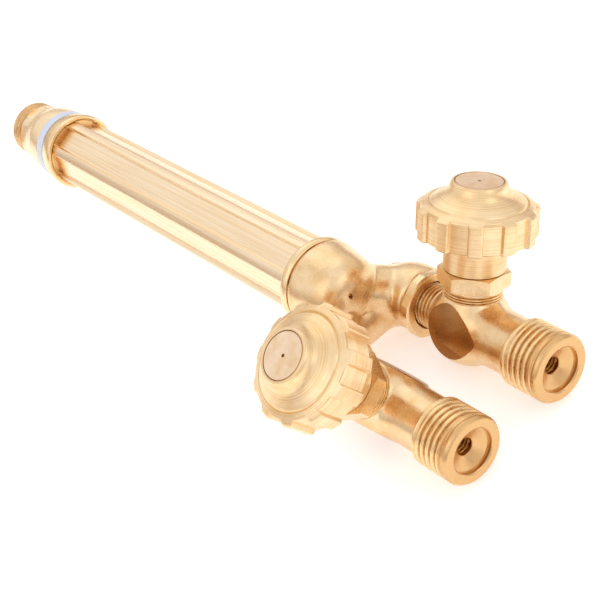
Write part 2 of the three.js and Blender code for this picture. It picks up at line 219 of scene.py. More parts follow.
class TorchStage(bpy.types.PropertyGroup):
    """Camera and light"""

    azimuth: FloatProperty(
        name="Azimuth", description="Camera direction round the torch, degrees", default=66.37)
    elevation: FloatProperty(
        name="Elevation", description="Camera height over the horizon, degrees", default=37.85)
    roll: FloatProperty(
        name="Roll", description="Camera roll, degrees", default=-24.9)
    distance: FloatProperty(
        name="Distance", description="Camera to its aim", default=0.28063, unit="LENGTH")
    lens: FloatProperty(name="Lens", description="Focal length, mm", default=84.05)
    floor_glow: FloatProperty(
        name="Floor glow", description="Light that the floor gives by itself", default=0.42)
    key_power: FloatProperty(name="Key", description="Power of the key light, W", default=0.8)
    fill_power: FloatProperty(name="Fill", description="Power of the fill light, W", default=0.9)
    rear_power: FloatProperty(name="Rear", description="Power of the rear light, W", default=0.7)
    aim: FloatVectorProperty(
        name="Aim", description="Aim point from the middle of the two valves",
        default=(-0.01973, -0.01141, 0.01737), unit="LENGTH")


# ---- mesh helpers --------------------------------------------------------------------
def soften(outline, steps=4):
    """Rounds the corners of an outline of (radius, height, corner size) points."""
    points = [Vector(point[:2]) for point in outline]
    sizes = [point[2] if len(point) > 2 else 0 for point in outline]
    last = len(points) - 1
    smooth = []
    for i, (point, size) in enumerate(zip(points, sizes)):
        if size == 0 or i in (0, last):
            smooth.append(point)
            continue
        before, after = points[i - 1] - point, points[i + 1] - point
        reach = min(size, before.length * 0.48, after.length * 0.48)
        start = point + before.normalized() * reach
        end = point + after.normalized() * reach
        for k in range(steps + 1):
            t = k / steps
            smooth.append(start * (1 - t) ** 2 + point * 2 * t * (1 - t) + end * t ** 2)
    return smooth


def lathe(outline, steps=96, closed=False):
    """Turns an outline round local z. It starts and ends on the axis, or is closed."""
    bm = bmesh.new()
    verts = [bm.verts.new((point[0], 0, point[1])) for point in soften(outline)]
    pairs = list(zip(verts, verts[1:])) + ([(verts[-1], verts[0])] if closed else [])
    edges = [bm.edges.new(pair) for pair in pairs]
    bmesh.ops.spin(bm, geom=verts + edges, axis=(0, 0, 1), cent=(0, 0, 0),
                   angle=2 * math.pi, steps=steps, use_merge=True)
    bmesh.ops.remove_doubles(bm, verts=bm.verts, dist=1e-4)
    bmesh.ops.dissolve_degenerate(bm, edges=bm.edges, dist=1e-5)
    bmesh.ops.recalc_face_normals(bm, faces=bm.faces)
    return bm


def fine(start, end, radius, step):
    """Closely spaced outline points at one radius, for a thread to be cut into."""
    count = max(2, int(abs(end - start) / step))
    return [(radius, start + (end - start) * k / count) for k in range(count + 1)]


def cut_thread(bm, start, end, radius, pitch, depth, hand=1, inside=False):
    """Presses a helical vee groove into the turned surface between two heights."""
    low, high = min(start, end), max(start, end)
    for vert in bm.verts:
        x, y, z = vert.co
        r = math.hypot(x, y)
        if low - 1e-4 <= z <= high + 1e-4 and abs(r - radius) < 0.02:
            phase = (z / pitch - hand * math.atan2(y, x) / (2 * math.pi)) % 1
            vee = min(1, max(0, (abs(phase - 0.5) * 2 - 0.08) / 0.66))
            vee = vee * vee * (3 - 2 * vee)
            fade = min(1, (z - low) / pitch, (high - z) / pitch)
            sink = depth * (1 - vee) * max(0, fade)
            scale = (radius + (sink if inside else -sink)) / r
            vert.co.x *= scale
            vert.co.y *= scale


def finish_mesh(bm, sharp=35):
    """Smooth shading, with edges sharper than the angle kept crisp."""
    for face in bm.faces:
        face.smooth = True
    limit = math.radians(sharp)
    for edge in bm.edges:
        edge.smooth = len(edge.link_faces) == 2 and edge.calc_face_angle(0) < limit


def to_object(bm, name):
    """Makes an object from a bmesh that is still in local millimetres."""
    mesh = bpy.data.meshes.new(name)
    bm.to_mesh(mesh)
    bm.free()
    obj = bpy.data.objects.new(name, mesh)
    bpy.context.scene.collection.objects.link(obj)
    return obj


def bake_modifiers(obj):
    """Replaces an object's mesh with what its modifiers make of it."""
    bpy.context.view_layer.update()
    graph = bpy.context.evaluated_depsgraph_get()
    old = obj.data
    mesh = bpy.data.meshes.new_from_object(obj.evaluated_get(graph))
    obj.modifiers.clear()
    obj.data = mesh
    bpy.data.meshes.remove(old)


def combine(obj, tool, operation="DIFFERENCE"):
    """Cuts or joins one object with another, which is used up."""
    modifier = obj.modifiers.new("combine", "BOOLEAN")
    modifier.operation = operation
    modifier.solver = "EXACT"
    modifier.object = tool
    bake_modifiers(obj)
    bpy.data.objects.remove(tool)


def join_bmesh(*parts):
    """Puts several bmeshes in one, as separate shells."""
    whole = bmesh.new()
    for part in parts:
        mesh = bpy.data.meshes.new("shell")
        part.to_mesh(mesh)
        part.free()
        whole.from_mesh(mesh)
        bpy.data.meshes.remove(mesh)
    return whole


def remesh(obj, voxel):
    """Melts overlapping shells into one skin."""
    modifier = obj.modifiers.new("melt", "REMESH")
    modifier.mode = "VOXEL"
    modifier.voxel_size = voxel
    modifier.adaptivity = 0
    bake_modifiers(obj)


def relax(obj, rounds, weight=None):
    """Smooths a skin; weight(position) from 0 to 1 says where."""
    bm = bmesh.new()
    bm.from_mesh(obj.data)
    verts = [v for v in bm.verts if weight is None or weight(v.co) > 0]
    for _ in range(rounds):
        bmesh.ops.smooth_vert(bm, verts=verts, factor=0.5, use_axis_x=True,
                              use_axis_y=True, use_axis_z=True)
    bm.to_mesh(obj.data)
    bm.free()


def place(obj, matrix, body, material, slot, *nodes, sharp=35):
    """Sets a finished piece in the row frame, on its body, with its material."""
    bm = bmesh.new()
    bm.from_mesh(obj.data)
    bm.transform(matrix)
    if matrix.determinant() < 0:
        bmesh.ops.reverse_faces(bm, faces=bm.faces)
    finish_mesh(bm, sharp)
    bm.to_mesh(obj.data)
    bm.free()
    obj.data.materials.clear()
    obj.data.materials.append(material)
    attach(obj, body)
    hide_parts(*nodes)
    return obj


def hex_solid(flats, low, high, chamfer, turned_to=None):
    """Hexagonal prism with its corners turned back at both ends, or all the way along."""
    corner = flats / math.sqrt(3)
    outer = turned_to or corner + 0.15
    bm = bmesh.new()
    bmesh.ops.create_cone(bm, cap_ends=True, segments=6, radius1=corner, radius2=corner,
                          depth=high - low,
                          matrix=Matrix.Translation((0, 0, (low + high) / 2)))
    bmesh.ops.bevel(bm, geom=[e for e in bm.edges if abs(e.verts[0].co.z - e.verts[1].co.z) > 0.1],
                    offset=0.18, offset_type="OFFSET", segments=3, profile=0.5,
                    affect="EDGES", material=-1)
    prism = to_object(bm, "hex")
    face = min(flats / 2 - 0.15, outer - chamfer)
    turned = to_object(lathe([
        (0, low), (face, low, 0.1), (outer, low + chamfer, 0.1),
        (outer, high - chamfer, 0.1), (face, high, 0.1), (0, high)], 96), "turned")
    combine(prism, turned, "INTERSECT")
    return prism


# ---- materials -----------------------------------------------------------------------
def add(tree, kind, links=None, **settings):
    """Adds a node with its settings, values and links."""
    node = tree.nodes.new(kind)
    for key, value in settings.items():
        setattr(node, key, value)
    for key, source in (links or {}).items():
        if isinstance(source, bpy.types.NodeSocket):
            tree.links.new(source, node.inputs[key])
        else:
            node.inputs[key].default_value = source
    return node


def new_material(name, **values):
    """Material with a Principled shader and the given socket values."""
    material = bpy.data.materials.new(name)
    material.use_nodes = True
    tree = material.node_tree
    shader = tree.nodes["Principled BSDF"]
    for key, value in values.items():
        shader.inputs[key.replace("_", " ")].default_value = value
    return material, tree, shader


def local_point(tree, matrix):
    """Coordinates in a piece's own frame, in millimetres."""
    where = add(tree, "ShaderNodeTexCoord")
    return add(tree, "ShaderNodeMapping", {
        "Vector": where.outputs["Object"], "Location": matrix.to_translation(),
        "Rotation": matrix.to_euler(), "Scale": matrix.to_scale()},
        vector_type="TEXTURE").outputs["Vector"]


def radius_and_height(tree, point):
    """Distance from local z, and height along it."""
    parts = add(tree, "ShaderNodeSeparateXYZ", {"Vector": point})
    flat = add(tree, "ShaderNodeCombineXYZ", {
        "X": parts.outputs["X"], "Y": parts.outputs["Y"]})
    length = add(tree, "ShaderNodeVectorMath", {0: flat.outputs["Vector"]}, operation="LENGTH")
    return length.outputs["Value"], parts.outputs["Z"]


def noise(tree, point, size, detail=4.0, rough=0.6):
    """Cloudy pattern whose largest marks have the given size, in millimetres."""
    return add(tree, "ShaderNodeTexNoise", {
        "Vector": point, "Scale": 1 / size, "Detail": detail, "Roughness": rough}).outputs["Fac"]


def ring_marks(tree, point, spacing):
    """Noise that is even round the axis, as a lathe tool leaves it."""
    radius, height = radius_and_height(tree, point)
    across = add(tree, "ShaderNodeCombineXYZ", {"X": radius, "Y": height})
    return noise(tree, across.outputs["Vector"], spacing, 3.0)


def spread(tree, fac, low, high, start=0.3, end=0.7):
    """Maps a pattern onto a range of values."""
    return add(tree, "ShaderNodeMapRange", {
        "Value": fac, "From Min": start, "From Max": end, "To Min": low, "To Max": high},
    ).outputs["Result"]


def colour(name):
    """One of the finish colours, for a shader socket."""
    return (*getattr(bpy.context.scene.torch_finish, name), 1)


def tint(tree, fac, first, second):
    """Blends two colours, or what another blend gave, by a pattern."""
    mix = add(tree, "ShaderNodeMix", data_type="RGBA")
    tree.links.new(fac, mix.inputs["Factor"])
    for key, source in (("A", first), ("B", second)):
        if isinstance(source, str):
            mix.inputs[key].default_value = colour(source)
        else:
            tree.links.new(source, mix.inputs[key])
    return mix.outputs["Result"]


def paint(tree, shader, source):
    """Gives the surface a blend of colours."""
    tree.links.new(source, shader.inputs["Base Color"])


def press(tree, shader, pattern, depth, strength):
    """Lets a pattern dent the surface by a depth in millimetres, over earlier dents."""
    bump = add(tree, "ShaderNodeBump", {
        "Strength": strength, "Distance": depth * MM, "Height": pattern})
    for earlier in shader.inputs["Normal"].links:
        tree.links.new(earlier.from_socket, bump.inputs["Normal"])
    tree.links.new(bump.outputs["Normal"], shader.inputs["Normal"])


def drawn_brass(name, matrix):
    """Drawn brass bar, polished lengthwise: long soft streaks and few marks."""
    material, tree, shader = new_material(name, Metallic=1.0)
    point = local_point(tree, matrix)
    long_way = add(tree, "ShaderNodeMapping", {"Vector": point, "Scale": (1, 1, 0.02)})
    streaks = noise(tree, long_way.outputs["Vector"], 0.5)
    paint(tree, shader, tint(tree, spread(tree, streaks, 0, 1), "drawn_pale", "drawn_deep"))
    tree.links.new(spread(tree, streaks, 0.24, 0.3), shader.inputs["Roughness"])
    press(tree, shader, streaks, 0.01, 0.4)
    return material


def turned_brass(name, matrix, spacing=0.22, shine=0.3, mark=0.03, lines=0.15,
                 pale="polished_pale", deep="polished_deep"):
    """Free-cutting brass, turned and polished: bright, with fine rings round the axis."""
    material, tree, shader = new_material(name, Metallic=1.0)
    point = local_point(tree, matrix)
    rings = ring_marks(tree, point, spacing)
    base = tint(tree, spread(tree, noise(tree, point, 6), 0, 1), pale, deep)
    paint(tree, shader, tint(tree, spread(tree, rings, 0, lines, 0.5, 0.62), base, "ring"))
    handled = noise(tree, point, 1.8, 6.0, 0.7)
    tree.links.new(spread(tree, handled, shine - 0.05, shine + 0.1), shader.inputs["Roughness"])
    press(tree, shader, rings, mark, 0.6)
    return material


def faced_brass(name, matrix, radius):
    """Plug faced flat on the lathe: satin, a brown seam round its edge, and painted shade in its centre drill
    mark.
    """
    material, tree, shader = new_material(name, Metallic=1.0, Roughness=0.36)
    point = local_point(tree, matrix)
    away, _ = radius_and_height(tree, point)
    clouds = noise(tree, point, 2.5, 5.0)
    face = tint(tree, spread(tree, clouds, 0, 0.7), "plug", "forged_deep")
    seam = spread(tree, away, 0, 0.85, radius - 0.22, radius - 0.08)
    face = tint(tree, seam, face, "root_and_seam_brown")
    # the centre drill mark is painted dark, as painted shade in its dimple
    paint(tree, shader, tint(tree, spread(tree, away, 1, 0, 0.3, 0.42), face, "dimple_shade"))
    press(tree, shader, ring_marks(tree, point, 0.2), 0.02, 0.5)
    return material


def forged_brass(name, matrix, flat=NOWHERE):
    """Hot-forged brass, tumbled: satin and slightly rosy, with a fine orange-peel skin.

    Wrench flats, beyond the given distance to either side, are milled, and painted brown as a reflection of the
    shaded brass beside them.
    """
    material, tree, shader = new_material(name, Metallic=1.0)
    point = local_point(tree, matrix)
    clouds = noise(tree, point, 5, 5.0, 0.65)
    sideways = add(tree, "ShaderNodeSeparateXYZ", {"Vector": point}).outputs["Y"]
    away = add(tree, "ShaderNodeMath", {0: sideways}, operation="ABSOLUTE").outputs["Value"]
    # the wrench flats are painted brown, a painted reflection of the shaded brass beside them
    milled_flat_painted_reflection = spread(tree, away, 0, 1, flat - 0.04, flat - 0.01)
    blotches = noise(tree, point, 3.5, 6.0, 0.7)
    rough = tint(tree, spread(tree, clouds, 0, 1), "forged_pale", "forged_deep")
    rough = tint(tree, spread(tree, blotches, 0, 0.3, 0.58, 0.78), rough, "stain")
    paint(tree, shader, tint(tree, milled_flat_painted_reflection, rough, "milled_flat_painted_reflection"))
    skin = noise(tree, point, 0.35, 5.0)
    tree.links.new(spread(tree, skin, 0.24, 0.36), shader.inputs["Roughness"])
    press(tree, shader, skin, 0.02, 0.35)
    unmilled = add(tree, "ShaderNodeMath", {0: 1.0, 1: milled_flat_painted_reflection}, operation="SUBTRACT")
    press(tree, shader, noise(tree, point, 2.2, 2.0, 0.5), 0.05, unmilled.outputs["Value"])
    return material


def threaded_brass(name, matrix, crest, root, clean=NOWHERE, plain="face"):
    """Brass with cut threads: bright crests, turning brown towards the roots.

    Beyond the given height the surface is clean and has the plain colour.
    """
    material, tree, shader = new_material(name, Metallic=1.0)
    point = local_point(tree, matrix)
    radius, along = radius_and_height(tree, point)
    grime = noise(tree, point, 1.2, 5.0, 0.7)
    wobble = spread(tree, grime, -0.25, 0.25)
    raised = add(tree, "ShaderNodeMath", {0: radius, 1: wobble}, operation="ADD").outputs["Value"]
    height = spread(tree, raised, 0, 1, root - 0.2, crest)
    beyond = add(tree, "ShaderNodeMath", {0: along, 1: clean}, operation="GREATER_THAN")
    # brown towards the roots, bright on the crests
    cut = tint(tree, height, "root_and_seam_brown", "crest")
    paint(tree, shader, tint(tree, beyond.outputs["Value"], cut, plain))
    tree.links.new(spread(tree, grime, 0.22, 0.42), shader.inputs["Roughness"])
    press(tree, shader, ring_marks(tree, point, 0.15), 0.03, 0.4)
    return material


def label_paper(name, matrix):
    """Coated paper label: matt, cool white, with a fibre grain."""
    material, tree, shader = new_material(name, Roughness=0.55)
    point = local_point(tree, matrix)
    fibres = noise(tree, point, 0.5, 6.0, 0.7)
    paint(tree, shader, tint(tree, spread(tree, fibres, 0, 1), "paper_pale", "paper_deep"))
    press(tree, shader, fibres, 0.02, 0.3)
    return material


def packing_plastic(name, matrix):
    """Moulded PTFE packing: waxy white, faintly mottled."""
    material, tree, shader = new_material(name, Roughness=0.45)
    point = local_point(tree, matrix)
    mottle = noise(tree, point, 0.8, rough=0.5)
    paint(tree, shader, tint(tree, spread(tree, mottle, 0, 1), "ptfe_pale", "ptfe_deep"))
    return material


def ground_steel(name, matrix):
    """Ground stainless steel: bright grey with fine grinding rings."""
    material, tree, shader = new_material(name, Metallic=1.0, Roughness=0.22)
    point = local_point(tree, matrix)
    rings = ring_marks(tree, point, 0.12)
    paint(tree, shader, tint(tree, spread(tree, rings, 0, 1), "steel_pale", "steel_deep"))
    press(tree, shader, rings, 0.01, 0.3)
    return material


def body_of_node(node):
    """Name of the body that a CAD node belongs to."""
    bodies = frame["record"]["behaviour"]["bodies"]
    return next(body for body, nodes in bodies.items() if node in nodes)


ROOT = body_of_node("handle_barrel")


# ---- handle --------------------------------------------------------------------------
class TORCH_OT_barrel(bpy.types.Operator):
    """Fluted barrel between the front collar and the rear ring"""

    bl_idname = "torch.barrel"
    bl_label = "Barrel"

    def execute(self, context):
        sizes = context.scene.torch_handle
        low = sizes.barrel_front
        high = (BARREL_HIGH.x - ORIGIN.x) / MM
        pitch = 360 / sizes.flutes
        wall = 1.2                           # degrees that the wall of a flute takes
        outline = []
        for i in range(sizes.flutes):
            middle = sizes.land_phase + i * pitch
            start, end = middle - sizes.land_width / 2, middle + sizes.land_width / 2
            outline += [(sizes.land_radius, start + (end - start) * k / 4) for k in range(5)]
            left, right = end + wall, start + pitch - wall
            for k in range(9):
                t = k / 8
                sag = 0.22 * math.sin(math.pi * t)
                outline.append((sizes.flute_radius - sag, left + (right - left) * t))
        bm = bmesh.new()
        rings = []
        for radii in ([r for r, _ in outline], [sizes.bore_radius] * len(outline)):
            verts = [bm.verts.new((r * math.cos(math.radians(a)), r * math.sin(math.radians(a)),
                                   low)) for r, (_, a) in zip(radii, outline)]
            rings.append([bm.edges.new(pair) for pair in zip(verts, verts[1:] + verts[:1])])
        bmesh.ops.bridge_loops(bm, edges=rings[0] + rings[1])
        grown = bmesh.ops.extrude_face_region(bm, geom=list(bm.faces))
        bmesh.ops.translate(bm, vec=(0, 0, high - low),
                            verts=[g for g in grown["geom"] if isinstance(g, bmesh.types.BMVert)])
        bmesh.ops.recalc_face_normals(bm, faces=bm.faces)
        corners = [e for e in bm.edges
                   if abs(e.verts[0].co.z - e.verts[1].co.z) > 1
                   and e.calc_face_angle(0) > math.radians(25)]
        bmesh.ops.bevel(bm, geom=corners, offset=0.13, offset_type="OFFSET", segments=3,
                        profile=0.5, affect="EDGES", material=-1)
        matrix = handle_frame()
        place(to_object(bm, "fluted_barrel"), matrix, ROOT,
              drawn_brass("Drawn and polished brass", matrix), "polished_brass",
              "handle_barrel")
        return {"FINISHED"}


class TORCH_OT_front(bpy.types.Operator):
    """Threaded front head, its label and the front collar"""

    bl_idname = "torch.front"
    bl_label = "Front head, label and collar"

    def execute(self, context):
        sizes = context.scene.torch_handle
        matrix = handle_frame()
        tip = (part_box("front_head")[0].x - ORIGIN.x) / MM
        radius = sizes.nose_radius
        thread, thread_end = tip + 0.8, tip + 4.1
        bm = lathe(
            [(0, tip + 9), (3.4, tip + 9), (4.6, tip + 2.5, 0.1), (4.6, tip + 0.4),
             (4.95, tip, 0.1), (6.55, tip, 0.15), (radius, tip + 0.7)]
            + fine(thread, thread_end, radius, 0.1)
            + [(6.7, thread_end + 0.25, 0.1), (6.7, thread_end + 0.7, 0.1),
               (7.5, thread_end + 1.2, 0.2), (7.6, tip + 8.6, 0.8), (7.9, tip + 10.2, 0.8),
               (8.6, tip + 12.3, 0.8), (8.95, tip + 13.6, 0.8), (9.28, LABEL_FRONT, 0.15),
               (8.65, LABEL_FRONT), (8.65, LABEL_REAR), (6.7, LABEL_REAR), (6.7, -139.1),
               (5.7, -139.1), (5.7, -134), (0, -134)], 128)
        cut_thread(bm, thread, thread_end, radius, sizes.tip_pitch, 0.5)
        head = to_object(bm, "threaded_head")
        sleeve = to_object(lathe(
            [(6.6, tip + 5.2), (9.5, tip + 5.2), (9.5, tip + 9.2), (6.6, tip + 9.2)],
            96, closed=True), "sleeve")
        combine(sleeve, hex_solid(NOSE_FLATS, tip + 4.8, tip + 9.6, 0.01))
        combine(head, sleeve)
        brass = threaded_brass("Turned head brass", matrix, radius + 0.5, radius - 0.5,
                               thread_end + 0.2, "polished_pale")
        place(head, matrix, ROOT, brass, "polished_brass", "front_head")
        collar = lathe([
            (7.0, -141.1), (9.35, -141.1, 0.15), (9.6, -140.5, 0.4), (9.95, -138.3, 0.7),
            (10.03, -137.0, 0.3), (9.8, -136.4, 0.2), (9.2, -136.4, 0.15), (8.66, -136.8, 0.1),
            (8.66, -138.2), (7.0, -138.2)], 128, closed=True)
        place(to_object(collar, "cup_collar"), matrix, ROOT,
              turned_brass("Turned collar brass", matrix, shine=0.22), "polished_brass",
              "front_collar")
        band = lathe([
            (8.95, LABEL_FRONT + 0.15), (9.28, LABEL_FRONT + 0.15, 0.05),
            (9.33, LABEL_FRONT + 1.6), (9.36, LABEL_REAR, 0.05), (8.95, LABEL_REAR)],
            128, closed=True)
        place(to_object(band, "paper_band"), matrix, ROOT, label_paper("Label paper", matrix),
              "label_paper", "label_band")
        return {"FINISHED"}


class TORCH_OT_rear(bpy.types.Operator):
    """Rear ring between barrel and Y-body"""

    bl_idname = "torch.rear"
    bl_label = "Rear ring"

    def execute(self, context):
        matrix = handle_frame()
        ring = lathe([
            (8.9, -33.5), (9.45, -33.5, 0.2), (9.9, -33.0, 0.35), (9.9, -31.95, 0.35),
            (9.5, -31.4, 0.1), (8.9, -31.4)], 128, closed=True)
        place(to_object(ring, "turned_ring"), matrix, ROOT,
              turned_brass("Turned ring brass", matrix, shine=0.22), "polished_brass",
              "rear_ring")
        return {"FINISHED"}


class TORCH_OT_y_body(bpy.types.Operator):
    """Forged Y-body"""

    bl_idname = "torch.y_body"
    bl_label = "Y-body"

    def execute(self, context):
        offset = (joint_place("oxygen")[0].y - ORIGIN.y) / MM
        web_x, web_radius = -22.9, 5.9       # cross web between the two branches
        neck = lathe([
            (0, -40.5), (5.3, -40.5), (5.6, -40.2), (5.6, -31.0), (9.4, -31.0, 0.2),
            (9.85, -30.4, 0.5), (9.75, -29.2, 1), (9.35, -27.1, 1), (9.0, -24.6, 1),
            (8.2, -21.8, 1), (6.4, -19.8, 1.2), (3.7, -18.7, 1), (0, -18.4)], 64)
        neck.transform(Matrix.Translation((0, 0, BARREL_RISE)) @ TURN_TO_HOSE)
        shells = [neck]
        for side in (1, -1):
            branch = lathe([
                (0, -25.0), (2.8, -24.7, 1), (4.8, -23.6, 1), (6.1, -21.7, 1), (6.8, -19.6, 1),
                (7.1, -17.6, 1), (7.15, -15.6, 0.6), (6.95, -14.5, 0.4), (6.6, -13.95, 0.2),
                (0, -13.95)], 64)
            branch.transform(Matrix.Translation((0, side * offset, 0)) @ TURN_TO_HOSE)
            lean = Vector((4, side * 8.4, -5)).normalized()
            link = bmesh.new()
            turn = Vector((0, 0, 1)).rotation_difference(lean).to_matrix().to_4x4()
            at = Matrix.Translation((web_x, side * 6.6, 2.6)) @ turn
            bmesh.ops.create_cone(link, cap_ends=True, segments=48, radius1=6.4, radius2=6.0,
                                  depth=11, matrix=at)
            elbow = bmesh.new()
            bmesh.ops.create_uvsphere(elbow, u_segments=48, v_segments=24, radius=7.0,
                                      matrix=Matrix.Translation((-21.9, side * 11.1, -1.2)))
            shells += [branch, link, elbow]
        web = bmesh.new()
        across = Matrix.Translation((web_x, 0, 0)) @ Matrix.Rotation(math.pi / 2, 4, "X")
        bmesh.ops.create_cone(web, cap_ends=True, segments=48, radius1=web_radius,
                              radius2=web_radius, depth=2 * offset - 4, matrix=across)
        shells.append(web)
        body = to_object(join_bmesh(*shells), "forged_y")
        remesh(body, 0.32)
        # the crotches between neck, links and web get the most smoothing
        relax(body, 4, lambda p: -29.6 < p.x < -15.4)
        relax(body, 16, lambda p: -27.5 < p.x < -16.5 and 3.0 < abs(p.y) < 9.8)
        relax(body, 50, lambda p: -29 < p.x < -16.8 and abs(p.y) < 9.5 and p.z < 4)
        relax(body, 6, lambda p: -29 < p.x < -15.6)
        pit = bmesh.new()
        dent = (Matrix.Translation((-19.3, -1.2, 10.2)) @ Matrix.Rotation(0.6, 4, "Y")
                @ Matrix.Diagonal((1.3, 0.8, 1.2, 1)))
        bmesh.ops.create_icosphere(pit, subdivisions=3, radius=0.75, matrix=dent)
        combine(body, to_object(pit, "pit"))
        for side in (1, -1):
            bore = lathe([(0, -24.2), (5.2, -24.2), (5.2, -10), (0, -10)], 64)
            bore.transform(Matrix.Translation((0, side * offset, 0)) @ TURN_TO_HOSE)
            combine(body, to_object(bore, "bore"))
        matrix = Matrix.Translation(ORIGIN) @ Matrix.Scale(MM, 4)
        place(body, matrix, ROOT, forged_brass("Forged Y brass", matrix), "forged_brass",
              "y_body", sharp=40)
        return {"FINISHED"}


# ---- valves --------------------------------------------------------------------------
class TORCH_OT_valve_bodies(bpy.types.Operator):
    """Forged valve bodies with their cut threads"""

    bl_idname = "torch.valve_bodies"
    bl_label = "Valve bodies"

    def execute(self, context):
        sizes = context.scene.torch_valve
        for gas in GASES:
            hand = 1 if gas == "oxygen" else -1
            matrix = valve_frame(gas)
            self.forging(gas, sizes, matrix)
            self.hose_end(gas, sizes, matrix, hand)
            self.tail(gas, sizes, matrix)
        return {"FINISHED"}

    @staticmethod
    def forging(gas, sizes, matrix):
        """Hub, tube and boss in one skin, and the fine thread on the boss."""
        hub, tube = sizes.hub_radius, sizes.tube_radius
        inline = lathe([
            (0, -8.4), (4.6, -8.4), (4.65, -7.6, 0.2), (5.4, -6.85, 0.4), (6.5, -5.7, 0.6),
            (7.5, -4.3, 1), (8.3, -2.3, 1), (hub, 0, 1), (8.3, 2.3, 1), (7.5, 4.3, 1),
            (6.75, 5.8, 1), (6.3, 7.2, 1), (tube, 8.6, 1), (tube, 15.1), (0, 15.1)], 96)
        inline.transform(TURN_TO_HOSE)
        boss = lathe([
            (0, 0), (7.9, 0), (7.6, 3.0, 1), (6.9, 5.2, 1), (6.35, 6.1, 1), (6.1, 6.7, 0.2),
            (5.9, 6.85), (0, 6.85)], 96)
        body = to_object(join_bmesh(inline, boss), f"{gas}_forging")
        remesh(body, 0.26)
        relax(body, 4, lambda p: p.z < 6.3 and -6.6 < p.x < 9)
        for side in (1, -1):
            bm = bmesh.new()
            bmesh.ops.create_cube(bm, size=1, matrix=Matrix.Translation(
                (0, side * (sizes.hub_flat + 2), -0.9)) @ Matrix.Diagonal((17, 4, 14.4, 1)))
            combine(body, to_object(bm, "flat"))
        bore = lathe([(0, -1.6), (3.1, -1.6), (3.1, 4.4), (3.8, 4.4), (3.8, 6.4), (4.8, 6.4),
                      (4.8, 10), (0, 10)], 64)
        combine(body, to_object(bore, "bore"))
        neck = lathe([(4.8, 6.4), (5.9, 6.4), (6.0, 6.7, 0.1), (6.0, 6.9, 0.05),
                      (5.55, 7.05, 0.05), (6.0, 7.2, 0.05), (6.0, 7.45, 0.05), (5.55, 7.6, 0.05),
                      (6.0, 7.75, 0.05), (6.0, 8.0, 0.05), (5.7, 8.15), (4.8, 8.15)],
                     96, closed=True)
        place(to_object(neck, f"{gas}_boss_threads"), matrix, ROOT, threaded_brass(
            f"Cut {gas} boss thread", matrix, 6.0, 5.55), "forged_brass", f"{gas}_valve_body")
        place(body, matrix, ROOT, forged_brass(
            f"Forged {gas} valve brass", matrix, flat=sizes.hub_flat),
              "forged_brass", f"{gas}_valve_body", sharp=40)

    @staticmethod
    def hose_end(gas, sizes, matrix, hand):
        """Male hose thread with its socket, left-handed for fuel."""
        radius, depth, socket = sizes.hose_radius, sizes.hose_depth, sizes.socket_radius
        start, face = sizes.hose_start, sizes.hose_face
        low, high = start + 0.7, face - 0.75     # thread outside
        throat, deep, bore = face - 2.5, 13.0, 1.75   # tapped bore inside
        bm = lathe(
            [(0, 9.0), (5.8, 9.0), (5.8, start - 0.3), (6.35, start), (6.9, start + 0.35, 0.1)]
            + fine(low, high, radius, 0.1)
            + [(radius - 0.5, face, 0.25), (socket + 0.3, face, 0.1), (socket, face - 0.25, 0.05),
               (socket, face - 1.05, 0.03), (socket - 0.35, face - 1.05, 0.03),
               (1.95, face - 2.35, 0.15)]
            + fine(throat, deep, bore, 0.09)
            + [(0, deep)], 128)
        cut_thread(bm, low, high, radius, sizes.hose_pitch, depth, hand)
        cut_thread(bm, deep, throat, bore, 0.8, 0.35, inside=True)
        local = matrix @ TURN_TO_HOSE
        place(to_object(bm, f"{gas}_hose_thread"), local, ROOT, threaded_brass(
            f"Cut {gas} hose thread", local, radius, radius - depth, face - 2.4),
            "forged_brass", f"{gas}_valve_body", sharp=50)

    @staticmethod
    def tail(gas, sizes, matrix):
        """Threaded tail that screws into its branch of the Y-body."""
        radius, low, high = sizes.tail_radius, -22.8, -7.5
        bm = lathe(
            [(0, -23.4), (radius - 0.6, -23.4, 0.1)]
            + fine(low, high, radius, 0.1)
            + [(4.3, -7.3), (4.3, -6.6), (0, -6.6)], 96)
        cut_thread(bm, low, high, radius, sizes.tail_pitch, 0.5)
        local = matrix @ TURN_TO_HOSE
        place(to_object(bm, f"{gas}_tail_thread"), local, ROOT, threaded_brass(
            f"Cut {gas} tail thread", local, radius + 0.5, radius - 0.5), "forged_brass",
            f"{gas}_valve_body", sharp=50)


